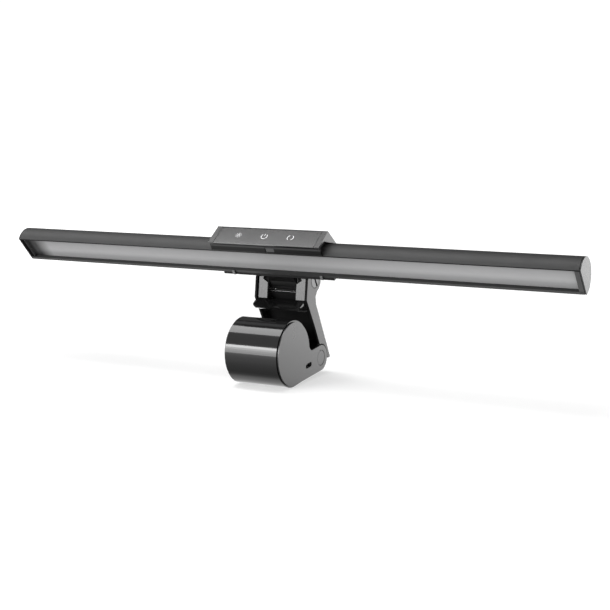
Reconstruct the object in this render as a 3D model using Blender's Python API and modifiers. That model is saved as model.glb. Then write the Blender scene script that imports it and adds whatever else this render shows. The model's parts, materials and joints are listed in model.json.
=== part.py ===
"""Monitor light bar: a D-section lamp on a sprung monitor clip with a counterweight pod.

Frame: +X to the user's right along the bar, -Y towards the user, +Z up.
The origin lies on the underside of the hook, on the face that rests on a monitor's top edge.
Side outlines are (y, z) pairs in millimetres; objects are in metres.
"""
import math

import bmesh
import bpy
from mathutils import Euler, Vector

MM = 0.001
GAP = 0.3                      # clearance between pieces that touch

# Lamp bar: a circle cut by a chord that faces forward and down
BAR_HALF_LENGTH = 225.0
BAR_CENTRE = (-13.0, 39.1)
BAR_RADIUS = 12.8
BAR_WALL = 1.4
CHORD_START = 156.0            # angle of the front-top corner, from +Y towards +Z
CHORD_END = 285.5              # angle of the bottom corner
UPPER_LIP = 1.0                # width of the face beside the diffuser, above and below it
LOWER_LIP = 2.4
LIP_DEPTH = 2.4
END_CAP_THICKNESS = 0.8
END_PLUG_THICKNESS = 3.4
DIFFUSER_THICKNESS = 1.5
LED_BOARD_DEPTH = 12.0
LED_BOARD_HALF = 8.0
LED_PITCH = 12.0
LED_COUNT_EACH_SIDE = 17
FEED_HOLE_RADIUS = 3.0

# Control module on top of the bar, and the saddle that holds the bar from behind
MODULE_HALF_WIDTH = 44.7
MODULE_FRONT = (-18.0, 11.7)   # section corners, measured from the bar's centre
MODULE_APEX = (-3.7, 21.6)
MODULE_REAR = (9.5, 11.1)
PANEL_HALF_WIDTH = 40.3
PANEL_THICKNESS = 1.1
SENSOR_WINDOW_X = (0.5, 7.6)
SADDLE_HALF_WIDTH = 45.3
SADDLE_RADIUS = 14.6
SADDLE_START = -73.0
SADDLE_END = 47.5
SADDLE_SCREW_X = 32.0
SADDLE_TAB_X = 36.0
SADDLE_TAB_HALF = 1.0

# Hinges, both along X
TILT_AXIS = (6.6, 22.1)
POD_AXIS = (14.3, -36.5)
TILT_PIN_RADIUS = 3.0
TILT_HOLE_RADIUS = 3.3
TILT_HEAD_RADIUS = 5.8
TILT_HEAD_HEIGHT = 1.7
TILT_SLOT_HALF = 0.85
POD_PIN_RADIUS = 2.5
POD_HOLE_RADIUS = 2.8
KNUCKLE_RADIUS = 8.3
KNUCKLE_HALF_WIDTH = 10.6

# Screws: every small one has the same slotted head
SCREW_HEAD_HEIGHT = 1.3
SCREW_HOLE_RADIUS = 1.5
SLOT_HALF_WIDTH = 0.4
SLOT_HALF_LENGTH = 4.0
SLOT_DEPTH = 0.6

# Clip: folded spine with two side walls, and the hook block between them
SPINE_HALF_WIDTH = 21.6
SPINE_WALL = 1.5
SPINE_WEB = 2.2
SPINE_LOBE_RADIUS = 9.0
SPINE_CUT_RADIUS = 10.3
BLOCK_HALF_WIDTH = 19.8
BLOCK_BACK = 4.9
CHEEK_INNER = 11.9
HOOK_PAD_HALF_WIDTH = 18.5
BLOCK_SCREW_X = 13.0
BLOCK_SCREW_Z = 7.0
PIVOT_SCREW_X = 14.0
PIVOT_SCREW_Z = -30.5
LIP_EDGE = (-12.2, 2.1)        # front edge of the hook's scooped lip
LIP_ROOT = (-3.4, 7.6)         # where the scoop's floor meets the block
LIP_WALL = 1.4
LIP_CORNER = 5.0

# Counterweight pod
POD_CENTRE = (-26.3, -26.2)
POD_RADIUS = 23.8
POD_WALL = 2.0
POD_SHELL_HALF_WIDTH = 20.6
POD_HALF_WIDTH = 21.9
PLATE_RADIUS = 22.6
PLATE_INNER = 20.9
HINGE_BOSS_INNER = 18.9
WEIGHT_HALF_WIDTH = 19.5
PIVOT_BLOCK_HALF_WIDTH = 18.4
LOBE_RADIUS = 9.4
ARM_TANGENT = -85.0            # angle of the arm's lower tangent points
PORT_CENTRE = (-4.9, -38.4)
PORT_TILT = 5.3
PORT_SIZE = (9.0, 3.4)
SOCKET_SPAN = (12.6, 20.7)     # along X, just inside the right side plate


# ---------------------------------------------------------------- helpers

def clear_scene():
    for old in list(bpy.data.objects):
        bpy.data.objects.remove(old, do_unlink=True)


def make_collection(name):
    collection = bpy.data.collections.new(name)
    bpy.context.scene.collection.children.link(collection)
    return collection


def make_pivot(name, side_point):
    pivot = bpy.data.objects.new(name, None)
    pivot.empty_display_size = 0.01
    pivot.location = (0.0, side_point[0] * MM, side_point[1] * MM)
    parts.objects.link(pivot)
    return pivot


def make_material(name, colour, roughness, metallic=0.0):
    material = bpy.data.materials.new(name)
    material.use_nodes = True
    shader = material.node_tree.nodes["Principled BSDF"]
    shader.inputs["Base Color"].default_value = (*colour, 1.0)
    shader.inputs["Roughness"].default_value = roughness
    shader.inputs["Metallic"].default_value = metallic
    return material


def polar(centre, radius, degrees):
    angle = math.radians(degrees)
    return (centre[0] + radius * math.cos(angle), centre[1] + radius * math.sin(angle))


def arc(centre, radius, start, end, steps):
    return [polar(centre, radius, start + (end - start) * i / steps) for i in range(steps + 1)]


def shifted(points, offset):
    return [(y + offset[0], z + offset[1]) for y, z in points]


def turned_about(points, centre, degrees):
    cosine = math.cos(math.radians(degrees))
    sine = math.sin(math.radians(degrees))
    result = []
    for y, z in points:
        dy = y - centre[0]
        dz = z - centre[1]
        result.append((centre[0] + dy * cosine - dz * sine, centre[1] + dy * sine + dz * cosine))
    return result


def rectangle(centre, width, height):
    y, z = centre
    return [(y - width / 2, z - height / 2), (y + width / 2, z - height / 2),
            (y + width / 2, z + height / 2), (y - width / 2, z + height / 2)]


def rounded_slot(centre, width, height, steps=6):
    half = (width - height) / 2
    right = arc((centre[0] + half, centre[1]), height / 2, -90, 90, steps)
    left = arc((centre[0] - half, centre[1]), height / 2, 90, 270, steps)
    return right + left


def register(obj, name, material, pivot):
    obj.name = name
    obj.data.name = name
    for owner in list(obj.users_collection):
        owner.objects.unlink(obj)
    parts.objects.link(obj)
    obj.data.materials.clear()
    obj.data.materials.append(material)
    obj.parent = pivot
    obj.location = obj.location - pivot.location
    return obj


def as_cutter(obj):
    for owner in list(obj.users_collection):
        owner.objects.unlink(obj)
    cutters.objects.link(obj)
    obj.hide_render = True
    obj.display_type = 'WIRE'
    return obj


def combine(target, tool, operation):
    modifier = target.modifiers.new(operation.lower(), 'BOOLEAN')
    modifier.operation = operation
    modifier.solver = 'EXACT'
    modifier.object = as_cutter(tool)
    return target


def cut(target, tool):
    return combine(target, tool, 'DIFFERENCE')


def fuse(target, tool):
    return combine(target, tool, 'UNION')


def flat_curve(outlines, thickness):
    """A filled 2D curve in its own XY plane, extruded to a thickness about that plane."""
    curve = bpy.data.curves.new("outline", 'CURVE')
    curve.dimensions = '2D'
    curve.fill_mode = 'BOTH'
    curve.extrude = thickness / 2 * MM
    for outline in outlines:
        spline = curve.splines.new('POLY')
        spline.points.add(len(outline) - 1)
        for point, (across, up) in zip(spline.points, outline):
            point.co = (across * MM, up * MM, 0.0, 1.0)
        spline.use_cyclic_u = True
    holder = bpy.data.objects.new("outline", curve)
    bpy.context.scene.collection.objects.link(holder)
    return holder


def prism(outlines, x_low, x_high):
    """Extrude one (y, z) outline, or an outline with holes, along X."""
    if isinstance(outlines[0][0], (int, float)):
        outlines = [outlines]
    holder = flat_curve(outlines, x_high - x_low)
    holder.rotation_euler = (math.pi / 2, 0.0, math.pi / 2)
    holder.location.x = (x_low + x_high) / 2 * MM
    return curve_to_mesh(holder)


def front_prism(outline, y_low, y_high):
    """Extrude an (x, z) outline along Y."""
    holder = flat_curve([outline], y_high - y_low)
    holder.rotation_euler = (math.pi / 2, 0.0, 0.0)
    holder.location.y = (y_low + y_high) / 2 * MM
    return curve_to_mesh(holder)


def curve_to_mesh(holder):
    bpy.context.view_layer.update()
    depsgraph = bpy.context.evaluated_depsgraph_get()
    mesh = bpy.data.meshes.new_from_object(holder.evaluated_get(depsgraph))
    mesh.transform(holder.matrix_world)
    bm = bmesh.new()
    bm.from_mesh(mesh)
    bmesh.ops.remove_doubles(bm, verts=bm.verts, dist=1e-6)
    bmesh.ops.recalc_face_normals(bm, faces=bm.faces)
    bm.to_mesh(mesh)
    bm.free()
    bpy.data.objects.remove(holder, do_unlink=True)
    solid = bpy.data.objects.new("solid", mesh)
    bpy.context.scene.collection.objects.link(solid)
    return solid


def rod(centre, radius, x_low, x_high, sides=48):
    """A cylinder along X."""
    bpy.ops.mesh.primitive_cylinder_add(
        vertices=sides, radius=radius * MM, depth=(x_high - x_low) * MM,
        location=((x_low + x_high) / 2 * MM, centre[0] * MM, centre[1] * MM),
        rotation=(0.0, math.pi / 2, 0.0))
    return bpy.context.object


def box(low, high):
    """A box between two (x, y, z) corners in millimetres."""
    bpy.ops.mesh.primitive_cube_add(size=1.0)
    obj = bpy.context.object
    obj.scale = tuple((b - a) * MM for a, b in zip(low, high))
    obj.location = tuple((a + b) / 2 * MM for a, b in zip(low, high))
    bpy.ops.object.transform_apply(location=False, rotation=False, scale=True)
    return obj


def turned(profile, location, direction, sides=24):
    """A turned solid from (radius, height) points, top to bottom, its axis along direction."""
    mesh = bpy.data.meshes.new("profile")
    points = [(radius * MM, 0.0, height * MM) for radius, height in profile]
    mesh.from_pydata(points, [(i, i + 1) for i in range(len(points) - 1)], [])
    obj = bpy.data.objects.new("turned", mesh)
    bpy.context.scene.collection.objects.link(obj)
    screw = obj.modifiers.new("lathe", 'SCREW')
    screw.axis = 'Z'
    screw.steps = sides
    screw.render_steps = sides
    screw.use_merge_vertices = True
    screw.merge_threshold = 1e-6
    obj.location = tuple(value * MM for value in location)
    obj.rotation_euler = direction
    return obj


def shade_round(obj):
    """Smooth shading with sharp edges kept, for pieces that carry no live modifiers."""
    obj.data.shade_smooth()
    obj.data.set_sharp_from_angle(angle=math.radians(30.0))
    return obj


def y_hole(radius, place, half_depth=4.0):
    """A cutter along Y through an (x, y, z) point."""
    hole = rod((0, 0), radius, -half_depth, half_depth, 24)
    hole.rotation_euler = TO_PLUS_Y
    hole.location = tuple(value * MM for value in place)
    return hole


def slotted_screw(location, direction, shank_radius, shank_length):
    """A small screw whose head sits on location and points along direction, with a slot across X."""
    top = SCREW_HEAD_HEIGHT
    screw = turned([(0, top), (1.9, top), (2.5, 0.7), (2.5, 0), (shank_radius, 0),
                    (shank_radius, -shank_length), (0, -shank_length)], location, direction)
    slot = box((-SLOT_HALF_WIDTH, -SLOT_HALF_LENGTH, 0.0), (SLOT_HALF_WIDTH, SLOT_HALF_LENGTH, 2.0))
    turn = Euler(direction).to_matrix()
    slot.rotation_euler = direction
    slot.location = Vector(location) * MM + turn @ Vector((0.0, 0.0, (top - SLOT_DEPTH + 1.0) * MM))
    return cut(screw, slot)


TO_PLUS_X = (0.0, math.pi / 2, 0.0)
TO_MINUS_X = (0.0, -math.pi / 2, 0.0)
TO_PLUS_Y = (-math.pi / 2, 0.0, 0.0)


# ---------------------------------------------------------------- lamp bar

def chord_frame():
    """Corner, unit vector along the chord and inward unit normal of the bar's section."""
    start = polar(BAR_CENTRE, BAR_RADIUS, CHORD_START)
    end = polar(BAR_CENTRE, BAR_RADIUS, CHORD_END)
    length = math.dist(start, end)
    along = ((end[0] - start[0]) / length, (end[1] - start[1]) / length)
    inward = (-along[1], along[0])
    return start, along, inward, length


def chord_point(distance, depth):
    start, along, inward, _ = chord_frame()
    return (start[0] + along[0] * distance + inward[0] * depth,
            start[1] + along[1] * distance + inward[1] * depth)


def chord_box(low, high, depth_low, depth_high):
    return [chord_point(low, depth_low), chord_point(high, depth_low),
            chord_point(high, depth_high), chord_point(low, depth_high)]


def circle_reach(radius, depth):
    """Half width of a circle about the bar's centre at a depth behind the chord."""
    _, _, _, length = chord_frame()
    chord_distance = math.sqrt(BAR_RADIUS ** 2 - (length / 2) ** 2)
    offset = depth - chord_distance
    return math.sqrt(radius ** 2 - offset ** 2)


def angle_of(point):
    return math.degrees(math.atan2(point[1] - BAR_CENTRE[1], point[0] - BAR_CENTRE[0]))


def build_bar():
    _, _, _, length = chord_frame()
    middle = length / 2
    inner = BAR_RADIUS - BAR_WALL
    body_end = BAR_HALF_LENGTH - END_CAP_THICKNESS - GAP
    reach = circle_reach(inner, LIP_DEPTH)
    inner_start = chord_point(middle - reach, LIP_DEPTH)
    inner_end = chord_point(middle + reach, LIP_DEPTH)

    section = arc(BAR_CENTRE, BAR_RADIUS, CHORD_END - 360, CHORD_START, 60)
    section += [chord_point(UPPER_LIP, 0), chord_point(UPPER_LIP, LIP_DEPTH)]
    section += arc(BAR_CENTRE, inner, angle_of(inner_start), angle_of(inner_end), 56)
    section += [chord_point(length - LOWER_LIP, LIP_DEPTH), chord_point(length - LOWER_LIP, 0)]
    housing = prism(section, -body_end, body_end)
    rear = BAR_CENTRE[0] + BAR_RADIUS
    for side in (-1, 1):
        cut(housing, y_hole(SCREW_HOLE_RADIUS, (side * SADDLE_SCREW_X, rear, BAR_CENTRE[1])))
    cut(housing, y_hole(FEED_HOLE_RADIUS, (0.0, rear, BAR_CENTRE[1])))
    register(housing, "bar_housing", black_aluminium, head_pivot)

    diffuser_depth = LIP_DEPTH + GAP
    diffuser_half = circle_reach(inner, diffuser_depth) - GAP
    plug_face = body_end - END_PLUG_THICKNESS
    diffuser = prism(chord_box(middle - diffuser_half, middle + diffuser_half,
                               diffuser_depth, diffuser_depth + DIFFUSER_THICKNESS),
                     -plug_face + GAP, plug_face - GAP)
    register(diffuser, "diffuser", frosted_diffuser, head_pivot)

    board_depth = LED_BOARD_DEPTH
    board_end = plug_face - 2.0
    board = prism(chord_box(middle - LED_BOARD_HALF, middle + LED_BOARD_HALF, board_depth, board_depth + 1.2),
                  -board_end, board_end)
    for index in range(-LED_COUNT_EACH_SIDE, LED_COUNT_EACH_SIDE + 1):
        chip_x = index * LED_PITCH
        chip = prism(chord_box(middle - 1.4, middle + 1.4, board_depth - 0.8, board_depth + 0.2),
                     chip_x - 1.75, chip_x + 1.75)
        fuse(board, chip)
    register(board, "led_board", circuit_board, head_pivot)

    wall_top = diffuser_depth + DIFFUSER_THICKNESS + GAP
    for name, sign in (("reflector_upper", -1), ("reflector_lower", 1)):
        wide = middle + sign * (diffuser_half - 0.6)
        narrow = middle + sign * (LED_BOARD_HALF - 1.2)
        wall = prism([chord_point(wide, wall_top), chord_point(wide - sign * 0.8, wall_top),
                      chord_point(narrow - sign * 0.8, board_depth - GAP),
                      chord_point(narrow, board_depth - GAP)], -board_end, board_end)
        register(wall, name, white_reflector, head_pivot)

    cap_outline = arc(BAR_CENTRE, BAR_RADIUS, CHORD_END - 360, CHORD_START, 60)
    plug_radius = inner - GAP
    plug_reach = circle_reach(plug_radius, diffuser_depth)
    plug_start = chord_point(middle - plug_reach, diffuser_depth)
    plug_end = chord_point(middle + plug_reach, diffuser_depth)
    plug_outline = arc(BAR_CENTRE, plug_radius, angle_of(plug_start), angle_of(plug_end), 48)
    plug_outline += [chord_point(length - LOWER_LIP - GAP, diffuser_depth),
                     chord_point(length - LOWER_LIP - GAP, 0.0),
                     chord_point(UPPER_LIP + GAP, 0.0),
                     chord_point(UPPER_LIP + GAP, diffuser_depth)]
    for side_name, sign in (("left", -1), ("right", 1)):
        plug_span = sorted((sign * plug_face, sign * body_end))
        plug = prism(plug_outline, *plug_span)
        register(plug, "end_plug_" + side_name, black_plastic, head_pivot)
        cap_span = sorted((sign * (BAR_HALF_LENGTH - END_CAP_THICKNESS), sign * BAR_HALF_LENGTH))
        cap = prism(cap_outline, *cap_span)
        register(cap, "end_cap_" + side_name, grey_satin, head_pivot)


# ---------------------------------------------------------------- control module

def module_point(along, depth):
    """Point on the module's sloping top: distance from its front edge and depth below it."""
    run = MODULE_APEX[0] - MODULE_FRONT[0]
    rise = MODULE_APEX[1] - MODULE_FRONT[1]
    length = math.hypot(run, rise)
    return (BAR_CENTRE[0] + MODULE_FRONT[0] + (run * along + rise * depth) / length,
            BAR_CENTRE[1] + MODULE_FRONT[1] + (rise * along - run * depth) / length)


def build_control_module():
    seat_radius = BAR_RADIUS + GAP
    slope_length = math.dist(MODULE_FRONT, MODULE_APEX)

    rear_angle = math.degrees(math.atan2(10.4, 8.0))
    belly = arc((0, 0), seat_radius, rear_angle, 91.8, 12)
    outline = [MODULE_FRONT, MODULE_APEX, MODULE_REAR] + belly + [(-10.3, 15.2), (-17.0, 10.6)]
    housing = prism(shifted(outline, BAR_CENTRE), -MODULE_HALF_WIDTH, MODULE_HALF_WIDTH)
    pocket = [(-12.0, 12.6), (-3.7, 18.6), (6.4, 11.0), (6.0, 8.0), (-12.0, 8.0)]
    cut(housing, prism(shifted(pocket, BAR_CENTRE), -42.0, 42.0))
    seat_depth = PANEL_THICKNESS + GAP
    seat = [module_point(-2.0, seat_depth), module_point(slope_length - 0.9, seat_depth),
            module_point(slope_length - 0.9, -1.0), module_point(-2.0, -1.0)]
    cut(housing, prism(seat, -PANEL_HALF_WIDTH - GAP, PANEL_HALF_WIDTH + GAP))
    register(housing, "control_housing", grey_satin, head_pivot)

    panel = [module_point(0.15, PANEL_THICKNESS), module_point(slope_length - 0.9 - GAP, PANEL_THICKNESS),
             module_point(slope_length - 0.9 - GAP, 0.0), module_point(0.0, 0.0)]
    register(prism(panel, -PANEL_HALF_WIDTH, PANEL_HALF_WIDTH), "touch_panel", panel_black, head_pivot)

    board = [module_point(7.0, 4.1), module_point(15.0, 4.1), module_point(15.0, 3.1), module_point(7.0, 3.1)]
    register(prism(board, -38.0, 38.0), "touch_board", circuit_board, head_pivot)

    plate_radius = seat_radius + 1.2
    front_wall = [(-16.2, 10.1), (-13.4, 5.6)]
    inner_arc = arc((0, 0), seat_radius, 157.0, 100.0, 16)
    outer_arc = arc((0, 0), plate_radius, 100.0, 147.0, 14)
    carrier = prism(shifted(front_wall + inner_arc + outer_arc + [(-14.6, 10.6)], BAR_CENTRE),
                    -41.6, 41.6)
    lip = [(-16.2, 10.1), (-13.4, 5.6), polar((0, 0), seat_radius, 157.0),
           polar((0, 0), seat_radius, 152.0), (-14.6, 10.6)]
    fuse(carrier, prism(shifted(lip, BAR_CENTRE), -MODULE_HALF_WIDTH + GAP, MODULE_HALF_WIDTH - GAP))
    pocket_outline = [(-18.0, 9.4), (-13.5, 9.4), (-12.3, 6.1), (-14.5, 5.7), (-17.0, 5.7)]
    cut(carrier, prism(shifted(pocket_outline, BAR_CENTRE), *SENSOR_WINDOW_X))
    register(carrier, "control_base", black_plastic, head_pivot)

    window = [(-15.3, 9.05), (-13.5, 6.15), (-12.85, 6.25), (-13.8, 9.05)]
    register(prism(shifted(window, BAR_CENTRE), SENSOR_WINDOW_X[0] + GAP, SENSOR_WINDOW_X[1] - GAP),
             "sensor_window", smoked_window, head_pivot)


# ---------------------------------------------------------------- saddle

def saddle_tab(x_centre):
    """A small claw that reaches round the bar's bottom corner onto the edge of its face."""
    _, _, _, length = chord_frame()
    inner = BAR_RADIUS + GAP
    claw = [polar(BAR_CENTRE, inner, SADDLE_START + 1.0), polar(BAR_CENTRE, SADDLE_RADIUS, SADDLE_START + 1.0),
            polar(BAR_CENTRE, SADDLE_RADIUS, SADDLE_START - 3.0), chord_point(length - 1.2, -1.2),
            chord_point(length - 2.3, -0.8), chord_point(length - 2.3, -GAP), chord_point(length + 0.35, -GAP)]
    return prism(claw, x_centre - SADDLE_TAB_HALF, x_centre + SADDLE_TAB_HALF)


def build_saddle():
    inner = BAR_RADIUS + GAP
    ring = arc(BAR_CENTRE, SADDLE_RADIUS, SADDLE_START, SADDLE_END, 40)
    ring += arc(BAR_CENTRE, inner, SADDLE_END, SADDLE_START, 40)
    saddle = prism(ring, -SADDLE_HALF_WIDTH, SADDLE_HALF_WIDTH)

    reach = math.dist(BAR_CENTRE, TILT_AXIS)
    toward = ((TILT_AXIS[0] - BAR_CENTRE[0]) / reach, (TILT_AXIS[1] - BAR_CENTRE[1]) / reach)
    across = (-toward[1], toward[0])
    half = 6.4
    neck = []
    for distance, side in ((inner + 0.5, -1), (reach, -1), (reach, 1), (inner + 0.5, 1)):
        neck.append((BAR_CENTRE[0] + toward[0] * distance + across[0] * half * side,
                     BAR_CENTRE[1] + toward[1] * distance + across[1] * half * side))
    fuse(saddle, prism(neck, -KNUCKLE_HALF_WIDTH, KNUCKLE_HALF_WIDTH))
    fuse(saddle, rod(TILT_AXIS, KNUCKLE_RADIUS, -KNUCKLE_HALF_WIDTH - 0.01, KNUCKLE_HALF_WIDTH + 0.01, 64))
    cut(saddle, rod(TILT_AXIS, TILT_HOLE_RADIUS, -20, 20, 32))
    rear = BAR_CENTRE[0] + SADDLE_RADIUS
    for side in (-1, 1):
        fuse(saddle, saddle_tab(side * SADDLE_TAB_X))
        cut(saddle, y_hole(SCREW_HOLE_RADIUS, (side * SADDLE_SCREW_X, rear, BAR_CENTRE[1])))
    register(saddle, "saddle", black_plastic, head_pivot)

    for side_name, sign in (("left", -1), ("right", 1)):
        screw = slotted_screw((sign * SADDLE_SCREW_X, rear + GAP, BAR_CENTRE[1]), TO_PLUS_Y, 1.2, 3.1)
        register(screw, "saddle_screw_" + side_name, dark_steel, head_pivot)


# ---------------------------------------------------------------- clip

def rear_line(z):
    """Y of the spine's sloping rear face at a height."""
    top = (8.0, 4.1)
    bottom = (29.1, -38.0)
    return top[0] + (bottom[0] - top[0]) * (z - top[1]) / (bottom[1] - top[1])


def build_spine():
    front = [(-3.9, 23.6), (-6.1, 8.9), (5.0, -10.4), (13.1, -26.3)]
    seat = arc(POD_AXIS, SPINE_CUT_RADIUS, 96.7, -6.0, 24)
    tip = [(27.9, -38.8), (29.1, -38.0)]
    back = [(8.0, 4.1), (7.4, 9.7), (8.5, 11.4), (9.5, 13.0)]
    lobe = arc(TILT_AXIS, SPINE_LOBE_RADIUS, -66, 130, 36)
    wall_outline = front + seat[1:] + tip + back + lobe
    left = prism(wall_outline, -SPINE_HALF_WIDTH, -SPINE_HALF_WIDTH + SPINE_WALL)
    right = prism(wall_outline, SPINE_HALF_WIDTH - SPINE_WALL, SPINE_HALF_WIDTH)

    run = (rear_line(-38.0) - rear_line(4.1), -42.1)
    length = math.hypot(*run)
    inward = (run[1] / length * SPINE_WEB, -run[0] / length * SPINE_WEB)
    web_outline = [(7.4, 9.7), (8.0, 4.1), (29.1, -38.0), (27.9, -38.8),
                   (29.1 + inward[0], -38.0 + inward[1]), (8.0 - SPINE_WEB, 4.1 - 0.9),
                   (7.4 - SPINE_WEB, 9.7)]
    tab_outline = [(7.3, 9.0), (7.35, 9.7), (8.4, 11.4), (9.3, 13.0), (9.2, 13.5), (6.6, 13.1),
                   (5.4, 13.1), (5.3, 9.0)]
    web = prism(web_outline, -SPINE_HALF_WIDTH + 0.5, SPINE_HALF_WIDTH - 0.5)
    fuse(web, prism(tab_outline, -CHEEK_INNER + GAP, CHEEK_INNER - GAP))
    fuse(web, left)
    fuse(web, right)
    for side in (-1, 1):
        span = sorted((side * (SPINE_HALF_WIDTH - SPINE_WALL - 0.5), side * (SPINE_HALF_WIDTH + 1)))
        cut(web, rod(TILT_AXIS, 6.1, *span))
        cut(web, y_hole(SCREW_HOLE_RADIUS + 0.1, (side * BLOCK_SCREW_X, 6.5, BLOCK_SCREW_Z)))
        cut(web, pivot_screw_hole(side))
    register(web, "spine", grey_satin, clip_root)


def web_normal():
    run = (rear_line(-38.0) - rear_line(4.1), -42.1)
    length = math.hypot(*run)
    return (-run[1] / length, run[0] / length)


def pivot_screw_hole(side):
    hole = rod((0, 0), 1.6, -6, 6, 24)
    normal = web_normal()
    hole.rotation_euler = (math.atan2(-normal[0], normal[1]), 0.0, 0.0)
    hole.location = (side * PIVOT_SCREW_X * MM, rear_line(PIVOT_SCREW_Z) * MM, PIVOT_SCREW_Z * MM)
    return hole


def lip_scoop():
    """Cutter for the scoop: a flat floor with low flanks, running up from the lip's edge to its root."""
    rise = math.atan2(LIP_ROOT[1] - LIP_EDGE[1], LIP_ROOT[0] - LIP_EDGE[0])
    length = math.dist(LIP_EDGE, LIP_ROOT)
    rim = BLOCK_HALF_WIDTH - LIP_WALL
    outline = [(-6.0, 0.0), (6.0, 0.0), (rim - 3.0, 1.0), (rim, 2.4), (rim, 16.0),
               (-rim, 16.0), (-rim, 2.4), (3.0 - rim, 1.0)]
    scoop = front_prism(outline, -4.0, length)
    scoop.rotation_euler = (rise, 0.0, 0.0)
    scoop.location = (0.0, LIP_EDGE[0] * MM, LIP_EDGE[1] * MM)
    return scoop


def lip_corner(sign):
    """Cutter that rounds one end of the lip, seen from the front."""
    half = BLOCK_HALF_WIDTH
    bottom = 1.4
    centre = (half - LIP_CORNER, bottom + LIP_CORNER)
    outline = arc(centre, LIP_CORNER, 270, 360, 8) + [(half + 1.0, centre[1]), (half + 1.0, bottom - 1.0),
                                                     (centre[0], bottom - 1.0)]
    return front_prism([(sign * x, z) for x, z in outline], -20.0, -4.2)


def build_hook_block():
    half = BLOCK_HALF_WIDTH
    profile = [(-0.9, 24.0), (-3.2, 8.0), (-7.1, 7.6), (-12.3, 4.8), LIP_EDGE, (-10.6, 1.4),
               (BLOCK_BACK, 1.4), (BLOCK_BACK, 11.0)]
    profile += arc(TILT_AXIS, 7.6, -60, 128, 24)
    block = prism(profile, -half, half)
    channel = [(-30.0, 7.4), (3.4, 7.4), (0.3, 13.0), (3.0, 13.1), (3.0, 40.0), (-30.0, 40.0)]
    cut(block, prism(channel, -CHEEK_INNER, CHEEK_INNER))
    cut(block, rod(TILT_AXIS, KNUCKLE_RADIUS + 0.6, -CHEEK_INNER - 0.003, CHEEK_INNER + 0.003, 64))
    cut(block, box((-CHEEK_INNER - 0.006, BLOCK_BACK + 0.05, 6.0), (CHEEK_INNER + 0.006, 30.0, 40.0)))
    cut(block, lip_scoop())
    for sign in (-1, 1):
        cut(block, lip_corner(sign))
    cut(block, rod(TILT_AXIS, TILT_HOLE_RADIUS, -25, 25, 32))
    for side in (-1, 1):
        cut(block, y_hole(SCREW_HOLE_RADIUS, (side * BLOCK_SCREW_X, BLOCK_BACK, BLOCK_SCREW_Z)))
    register(block, "hook_block", black_gloss, clip_root)

    pad = [(-3.9, 0.0), (4.3, 0.0), (4.3, 1.1), (-3.9, 1.1)]
    register(prism(pad, -HOOK_PAD_HALF_WIDTH, HOOK_PAD_HALF_WIDTH), "hook_pad", silicone, clip_root)

    for side_name, sign in (("left", -1), ("right", 1)):
        trim = front_plate(sign)
        register(trim, "front_plate_" + side_name, grey_satin, clip_root)
        screw = slotted_screw((sign * BLOCK_SCREW_X, 8.0, BLOCK_SCREW_Z), TO_PLUS_Y, 1.25, 5.5)
        register(screw, "block_screw_" + side_name, dark_steel, clip_root)


def front_plate(sign):
    """One of the two plates on the hook block's face, with its inner top corner cut off."""
    low = (-5.0, 8.3)
    high = (-2.75, 24.1)
    thickness = 1.5
    outline = [low, high, (high[0] + thickness, high[1] - 0.2), (low[0] + thickness, low[1] - 0.2)]
    outer = BLOCK_HALF_WIDTH - 0.6
    inner = CHEEK_INNER - 0.2
    span = sorted((sign * inner, sign * outer))
    plate = prism(outline, *span)
    corner = box((-5.0, -5.0, -3.0), (5.0, 5.0, 3.0))
    corner.rotation_euler = (0.0, sign * math.radians(57.0), 0.0)
    corner.location = (sign * (inner - 1.0) * MM, -3.0 * MM, 25.0 * MM)
    return cut(plate, corner)


# ---------------------------------------------------------------- tilt hinge

def build_tilt_hinge():
    head = TILT_HEAD_RADIUS
    top = TILT_HEAD_HEIGHT
    seat = BLOCK_HALF_WIDTH + GAP
    pin_end = -2 * seat + GAP
    screw = turned([(0, top), (head - 0.3, top), (head, top - 0.3), (head, 0), (TILT_PIN_RADIUS, 0),
                    (TILT_PIN_RADIUS, pin_end), (0, pin_end)], (seat, *TILT_AXIS), TO_PLUS_X, 48)
    slot = box((-1.0, -7.0, -TILT_SLOT_HALF), (1.0, 7.0, TILT_SLOT_HALF))
    slot.rotation_euler = (math.radians(-60.0), 0.0, 0.0)
    slot.location = ((seat + top) * MM, TILT_AXIS[0] * MM, TILT_AXIS[1] * MM)
    cut(screw, slot)
    register(screw, "tilt_screw", dark_steel, clip_root)

    nut = turned([(0, top), (head - 0.3, top), (head, top - 0.3), (head, 0), (0, 0)],
                 (-seat, *TILT_AXIS), TO_MINUS_X, 48)
    recess = box((-1.0, -7.0, -TILT_SLOT_HALF), (1.0, 7.0, TILT_SLOT_HALF))
    recess.rotation_euler = (math.radians(36.0), 0.0, 0.0)
    recess.location = (-(seat + top) * MM, TILT_AXIS[0] * MM, TILT_AXIS[1] * MM)
    cut(nut, recess)
    register(nut, "tilt_nut", dark_steel, clip_root)

    for side_name, sign in (("left", -1), ("right", 1)):
        span = sorted((sign * (KNUCKLE_HALF_WIDTH + GAP), sign * (CHEEK_INNER - GAP)))
        rings = [arc(TILT_AXIS, 7.2, 0, 352.5, 47), arc(TILT_AXIS, TILT_HOLE_RADIUS, 0, 348.75, 31)]
        washer = prism(rings, *span)
        register(washer, "friction_washer_" + side_name, bronze_washer, clip_root)


# ---------------------------------------------------------------- pod hinge

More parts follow.
